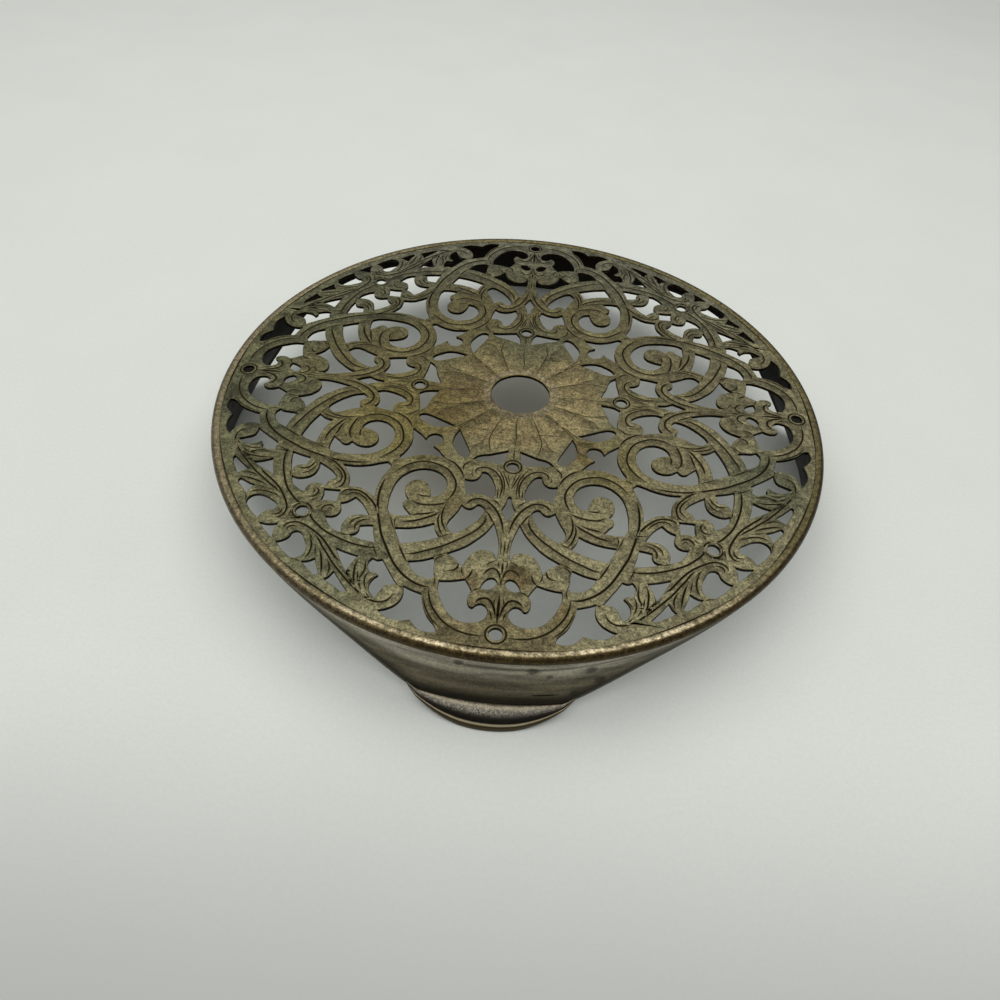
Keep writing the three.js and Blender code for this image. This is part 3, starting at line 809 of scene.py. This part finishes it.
def bead_brass(colours):
    shader = Shader("bead_brass")
    place = shader.place()
    x, y = shader.parts(place)[:2]
    radius = (x * x + y * y) ** 0.5
    cloud = shader.noise(place, grain=12, detail=3, roughness=0.6, distortion=0.5)
    mottle = shader.noise(place, grain=1.4, detail=3, roughness=0.7)
    pits = shader.noise(place, grain=0.5, detail=2, roughness=0.7)

    half_bead = 1.45
    crest_radius = RIM_HIGH.x - half_bead
    crest = 1 - radius.past(crest_radius - 0.2, crest_radius + 0.5)
    colour = shader.mixed(crest * 0.8, tinted(colours.brown, 0.6), colours.patina)
    to_left = (0 - x).past(10, 95)
    scuffed = tinted(colours.brass, 0.5)
    colour = shader.mixed(to_left * (0.25 + 0.5 * cloud), colour, scuffed)
    # Painted highlight over real wear: bare brass on the inner side of the crest along the front,
    # where the lamp's highlight falls.
    to_front = (0 - y + 0.15 * x).past(62, 100)
    patchy = (cloud * 0.8 + mottle * 0.5).above(0.5, 0.85)
    worn_and_highlight = crest * to_front * (0.2 + 0.7 * patchy)
    colour = shader.mixed(worn_and_highlight, colour, colours.brass)
    tone = (0.6 + 0.8 * mottle.above(0.3, 0.7)) * (0.6 + 0.7 * pits.above(0.36, 0.6))
    colour = shader.scaled(colour, tone)
    inside = 1 - radius.past(PLATE_HIGH.x - 0.6, PLATE_HIGH.x + 0.2)
    colour = shader.mixed(inside, colour, colours.grime_and_shade)
    normal = shader.bump(mottle * 0.6 + pits * 0.35, 0.14)
    return shader.metal(colour, 0.92, 0.44 - 0.12 * worn_and_highlight, normal)


# Marks on the wall over the front foot, in millimetres: the middle, the reach and the strength.
FRONT_MARKS = (
    ((10.4, -98.5, 17.5), 2.4, 0.7), ((-8.8, -98.6, 18.9), 1.9, 0.7),
    ((-23.3, -99.0, 5.8), 1.5, 0.6), ((15.0, -98.0, 14.8), 1.3, 0.6),
    ((25.4, -95.7, 16.5), 2.2, 0.7), ((28.5, -95.6, 11.4), 2.2, 0.7),
    ((22.1, -98.5, 7.8), 1.7, 0.6),
)


def worn_plating(colours):
    """Plating of the skirt, with painted shade, painted highlights and painted dark reflections:
    the wall, the crease over a toe, the toe, its lip and the inside.
    """
    shader = Shader("worn_plating")
    place = shader.place()
    x, y, z = shader.parts(place)
    profile = shader.node("ShaderNodeAttribute", {"attribute_name": "profile"}, output=2)
    round_skirt = shader.joined(x * 0.1, y * 0.1, z)
    streaks = shader.noise(round_skirt, grain=2.4, detail=4, roughness=0.6, distortion=0.6)
    cloud = shader.noise(place, grain=10, detail=3, roughness=0.6, distortion=0.5)
    mottle = shader.noise(place, grain=1.2, detail=3, roughness=0.7)
    grit = shader.noise(place, grain=0.45, detail=2, roughness=0.75)
    from_foot = x.size().math("MINIMUM", y.size())

    # Painted shade: over the middle of each foot, reaching less far to the right of the front foot,
    # the wall is mixed towards the dark tarnish colour, more so lower down.
    widened = from_foot + x.past(0, 10) * (6 * MM)
    middle = 1 - (widened + (cloud - 0.5) * (14 * MM)).past(6, 20)
    shaded = middle * (0.55 + 0.45 * profile.above(0.2, 0.6))
    colour = shader.mixed(shaded, colours.plating, colours.tarnish_and_shade)
    # Painted dark reflection: a narrow dark band high on the wall, from 9 mm left of the front
    # foot's middle round to the right.
    beyond = (x + 9 * MM).past(0, 3)
    reflected_dark_streak = profile.above(0.13, 0.17) * (1 - profile.above(0.2, 0.26)) * beyond
    colour = shader.mixed(reflected_dark_streak * 0.5, colour, colours.grime_and_shade)
    tone = (0.62 + 0.76 * streaks.above(0.3, 0.7)) * (0.85 + 0.3 * mottle.above(0.3, 0.7))
    colour = shader.scaled(colour, tone * (0.8 + 0.4 * grit.above(0.35, 0.65)))

    for centre, reach, share in FRONT_MARKS:
        spot = shader.spot(place, centre, reach, (mottle - 0.5) * 1.5)
        colour = shader.mixed(spot * share, colour, colours.grime_and_shade)
    scratch = x.past(10.5, 12) * (1 - x.past(16, 18.5))
    scratch = scratch * z.past(7.4, 7.7) * (1 - z.past(7.9, 8.2))
    colour = shader.mixed(scratch * (0 - y).past(0, 1), colour, colours.grime_and_shade)
    # Painted shade: near each foot's middle, the crease over the toe and the wall just above it are
    # darkened.
    near_foot = 1 - from_foot.past(14, 22)
    crease = profile.above(0.72, 0.97) * (1 - profile.above(1.03, 1.2)) * near_foot
    colour = shader.mixed(crease * 0.85, colour, colours.grime_and_shade)

    # The toe is darker than the wall, as dull plating and painted shade; low in its middle it
    # carries a painted dark reflection.
    toe = profile.above(1.04, 1.14)
    ragged = (cloud - 0.5) * (10 * MM) + (mottle - 0.5) * (5 * MM)
    to_side = (from_foot + ragged).past(4, 11)
    reflected_dark_patch = (1 - to_side) * (profile + (mottle - 0.5) * 0.4).above(1.12, 1.26)
    dull_and_shaded_toe = shader.mixed(reflected_dark_patch, tinted(colours.tarnish_and_shade, 2.2), colours.grime_and_shade)
    dull_and_shaded_toe = shader.scaled(dull_and_shaded_toe, 0.55 + 0.9 * mottle.above(0.3, 0.7))
    colour = shader.mixed(toe, colour, dull_and_shaded_toe)
    # Painted highlight, broken by real specks of wear: light plating along the top of each toe,
    # brighter towards its sides.
    top_of_toe = toe * (1 - (profile + (mottle - 0.5) * 0.3).above(1.2, 1.5))
    specks = grit.above(0.4, 0.56) * mottle.above(0.4, 0.55)
    rubbed_and_highlight = top_of_toe * (0.45 + 0.55 * to_side) * (0.25 + 0.75 * specks)
    colour = shader.mixed(rubbed_and_highlight, colour, colours.plating)

    arris = profile.above(1.64, 1.7) * (1 - profile.above(1.73, 1.8))
    colour = shader.mixed(arris * (0.6 + 0.6 * mottle), colour, colours.brass)
    # Painted shade: the lower face of the lip and the sole, down by the floor, are painted dark
    # brown.
    lip = profile.above(1.76, 1.86)
    colour = shader.mixed(lip, colour, tinted(colours.brown, 0.6))
    # Painted shade: the sole's inner edge and the inside of the skirt are painted near-black.
    inside_shade = profile.above(3.0, 3.2)
    colour = shader.mixed(inside_shade, colour, colours.grime_and_shade)
    normal = shader.bump(streaks * 0.5 + mottle * 0.35 + grit * 0.2, 0.12)
    return shader.metal(colour, 0.8, 0.38 + 0.2 * mottle, normal)


def floor_paint(colours):
    """Pale floor, with painted shade: darker in front, and darker and browner under the trivet."""
    shader = Shader("floor_paint")
    place = shader.place()
    y = shader.parts(place)[1]
    grain = shader.noise(place, grain=1.1, detail=3, roughness=0.7)
    cloud = shader.noise(place, grain=50, detail=3, roughness=0.5)
    shade = tinted(colours.floor, 0.86)
    light = tinted(colours.floor, 1.08)
    colour = shader.mixed(grain * 0.7 + cloud * 0.3, shade, light)
    # Painted shade: the floor darkens towards the front.
    in_front = (0 - y).past(95, 190)
    colour = shader.mixed(in_front, colour, tinted(colours.floor, 0.62))
    # Painted shade: the floor under the trivet is darker and browner.
    shade_under_trivet = [part * share for part, share in zip(colours.floor, (0.70, 0.67, 0.61))]
    under = shader.spot(place, (-8, 6, 0), 74, 0.2)
    colour = shader.mixed(under, colour, shade_under_trivet)
    return shader.metal(colour, 0.0, 0.75, shader.bump(grain, 0.05))


# Operators


class TRIVET_OT_plate(bpy.types.Operator):
    """Make the pierced plate and engrave it"""

    bl_idname = "trivet.plate"
    bl_label = "Engraved plate"

    def execute(self, context):
        sizes = context.scene.trivet_sizes
        colours = context.scene.trivet_colours
        plate = pierced_plate(sizes.plate_chamfer / MM)
        plate.data.materials.append(patinated_brass(colours))
        cuts = graver_cuts(sizes.cut_scale, sizes.cut_slope)
        cuts.data.materials.append(engraved_line(colours))
        plate = cut_away(plate, cuts)
        finished(plate, "pierced_top", sharp_angle=30)
        return {"FINISHED"}


class TRIVET_OT_rim(bpy.types.Operator):
    """Spin the bead rim with the ledge that carries the plate"""

    bl_idname = "trivet.rim"
    bl_label = "Bead rim"

    def execute(self, context):
        sizes = context.scene.trivet_sizes
        bead_width = sizes.bead_width / MM
        bead_steps = 27
        undercut = math.radians(45)
        edge = 0.5
        fit_gap = 0.3
        outer_depth = (RIM_HIGH.z - RIM_LOW.z - edge) / (1 + math.sin(undercut))
        inner_depth = RIM_HIGH.z - PLATE_HIGH.z
        bead_centre = RIM_HIGH.x - bead_width / 2
        bead = []
        for step in range(bead_steps + 1):
            angle = step / bead_steps * (math.pi + undercut) - undercut
            depth = inner_depth if angle > math.pi / 2 else outer_depth
            bead.append((bead_centre + bead_width / 2 * math.cos(angle),
                         RIM_HIGH.z - depth * (1 - math.sin(angle)), 1))
        ledge_top = PLATE_LOW.z - fit_gap
        ledge_radius = PLATE_HIGH.x - sizes.ledge_width / MM
        skirt_inset = 0.9
        section = [(ledge_radius, RIM_LOW.z, 0), (RIM_HIGH.x - skirt_inset, RIM_LOW.z, 0), *bead,
                   (RIM_HIGH.x - bead_width, ledge_top, 2), (ledge_radius, ledge_top, 2)]
        rim = lofted_ring("bead_rim", lambda angle: section, steps=360)
        rim.data.materials.append(bead_brass(context.scene.trivet_colours))
        finished(rim, "rim", sharp_angle=40)
        return {"FINISHED"}


class TRIVET_OT_skirt(bpy.types.Operator):
    """Loft the skirt round its four arches and feet"""

    bl_idname = "trivet.skirt"
    bl_label = "Footed skirt"

    def execute(self, context):
        self.sizes = context.scene.trivet_sizes
        skirt = lofted_ring("footed_skirt", self.section, steps=720)
        skirt.data.materials.append(worn_plating(context.scene.trivet_colours))
        finished(skirt, "skirt", sharp_angle=35)
        return {"FINISHED"}

    def wall_radius(self, height):
        """Outside of the wall: hollow under the rim, then flaring to the foot moulding."""
        inset, hollow = 0.9, 0.4
        toe_height = self.sizes.toe_height / MM
        share = (SKIRT_HIGH.z - height) / (SKIRT_HIGH.z - toe_height)
        flare = self.sizes.skirt_flare / MM
        return RIM_HIGH.x - inset + flare * share ** 2 - hollow * math.sin(math.pi * share)

    def edge_height(self, angle):
        """Height of the lower edge at an angle from the nearest foot's middle."""
        feet = 4
        arch_power = 1.45

        def wave(turn):
            return ((1 + math.cos(feet * turn)) / 2) ** arch_power
        headroom = SKIRT_HIGH.z - self.sizes.arch_band / MM
        return headroom * max(0, 1 - wave(angle) / wave(self.sizes.foot_flat / 2))

    def section(self, angle):
        """The section at a place round the skirt.

        The toe is longest in the middle of a foot, and its lip follows the lower edge up the
        sides, where the toe draws in to the wall.
        """
        quarter = math.pi / 2
        from_foot = abs((angle + quarter / 2) % quarter - quarter / 2)
        fullness = max(0, 1 - (from_foot / self.sizes.toe_sweep) ** 2)
        lip_height, crease_depth, sole_depth, corner = 0.9, 0.3, 5.9, 0.22
        wall = self.sizes.skirt_wall / MM
        edge = self.edge_height(from_foot)
        lip_top = edge + lip_height
        crease = max(self.sizes.toe_height / MM, lip_top + 2 * crease_depth)
        crease_radius = self.wall_radius(crease) - crease_depth * fullness
        full_reach = SKIRT_HIGH.x - self.wall_radius(self.sizes.toe_height / MM) + crease_depth
        reach = full_reach * fullness
        lip = crease_radius + reach
        sole = wall + (sole_depth - wall) * fullness

        def run(steps, start, end, inset):
            heights = [start + step / steps * (end - start) for step in range(steps + 1)]
            return [(self.wall_radius(height) - inset, height) for height in heights]

        points = [(radius, height, (RIM_LOW.z - height) / (RIM_LOW.z - crease))
                  for radius, height in run(20, RIM_LOW.z, crease, 0)]
        toe_steps, corner_steps = 16, 4
        for step in range(toe_steps + 1):
            turn = step / toe_steps * quarter
            points.append((crease_radius + reach * math.sin(turn),
                           lip_top + (crease - crease_depth - lip_top) * math.cos(turn),
                           1 + step / toe_steps))
        for step in range(corner_steps + 1):
            turn = step / corner_steps * quarter
            points.append((lip - corner * (1 - math.cos(turn)),
                           edge + corner * (1 - math.sin(turn)), 2.6 + 0.1 * step))
        points.append((lip - sole + corner, edge, 3.1))
        points.append((lip - sole, edge + corner, 3.3))
        points += [(radius, height, 4) for radius, height in run(8, crease, RIM_LOW.z, wall)]
        return points


class TRIVET_OT_stage(bpy.types.Operator):
    """Add the floor, the lights and the camera"""

    bl_idname = "trivet.stage"
    bl_label = "Stage"

    def execute(self, context):
        scene = context.scene
        self.add_floor(scene)
        self.add_lights(scene)
        self.add_camera(scene)
        scene.view_settings.view_transform = "Standard"
        return {"FINISHED"}

    def add_floor(self, scene):
        shape = bmesh.new()
        bmesh.ops.create_grid(shape, x_segments=1, y_segments=1, size=4)
        mesh = bpy.data.meshes.new("floor")
        shape.to_mesh(mesh)
        shape.free()
        floor = link("floor", mesh)
        floor.data.materials.append(floor_paint(scene.trivet_colours))

    def add_lights(self, scene):
        world = bpy.data.worlds.new("studio")
        world.use_nodes = True
        background = world.node_tree.nodes["Background"]
        background.inputs["Color"].default_value = (1.0, 1.0, 1.0, 1)
        background.inputs["Strength"].default_value = 0.34
        scene.world = world
        place = Vector((-0.05, 0.05, 0.9))
        light = bpy.data.lights.new("overhead", "AREA")
        light.shape = "DISK"
        light.size = 1.6
        light.energy = 10.4
        lamp = bpy.data.objects.new("overhead", light)
        lamp.location = place
        lamp.rotation_euler = (-place).to_track_quat("-Z", "Y").to_euler()
        scene.collection.objects.link(lamp)

    def add_camera(self, scene):
        camera_data = bpy.data.cameras.new("camera")
        camera_data.sensor_width = 36
        camera_data.lens = 26.02
        camera = bpy.data.objects.new("camera", camera_data)
        scene.collection.objects.link(camera)
        place = Vector((0.00184, -0.18645, 0.18536))
        forward = Vector((-0.0217, 0.6524, -0.7576)).normalized()
        level = Vector((0.99945, 0.0333, 0))
        level = (level - forward * level.dot(forward)).normalized()
        roll = 0.0703
        upright = level.cross(forward)
        right = math.cos(roll) * level + math.sin(roll) * upright
        up = right.cross(forward)
        axes = Matrix((right, up, -forward)).transposed().to_4x4()
        camera.matrix_world = Matrix.Translation(place) @ axes
        camera_data.clip_start = 0.01
        scene.camera = camera


class TRIVET_PT_panel(bpy.types.Panel):
    """Buttons and sizes of the trivet"""

    bl_label = "Pierced trivet"
    bl_idname = "TRIVET_PT_panel"
    bl_space_type = "VIEW_3D"
    bl_region_type = "UI"
    bl_category = "Trivet"

    def draw(self, context):
        for operator in OPERATORS:
            self.layout.operator(operator.bl_idname)
        for group in (context.scene.trivet_sizes, context.scene.trivet_colours):
            box = self.layout.box()
            for name in group.__annotations__:
                box.prop(group, name)


OPERATORS = (TRIVET_OT_plate, TRIVET_OT_rim, TRIVET_OT_skirt, TRIVET_OT_stage)
CLASSES = (TrivetSizes, TrivetColours, *OPERATORS, TRIVET_PT_panel)


def register():
    for item in CLASSES:
        bpy.utils.register_class(item)
    bpy.types.Scene.trivet_sizes = bpy.props.PointerProperty(type=TrivetSizes)
    bpy.types.Scene.trivet_colours = bpy.props.PointerProperty(type=TrivetColours)


def unregister():
    del bpy.types.Scene.trivet_colours
    del bpy.types.Scene.trivet_sizes
    for item in reversed(CLASSES):
        bpy.utils.unregister_class(item)


def main():
    register()
    bpy.ops.trivet.plate()
    bpy.ops.trivet.rim()
    bpy.ops.trivet.skirt()
    bpy.ops.trivet.stage()


if __name__ == "__main__":
    main()
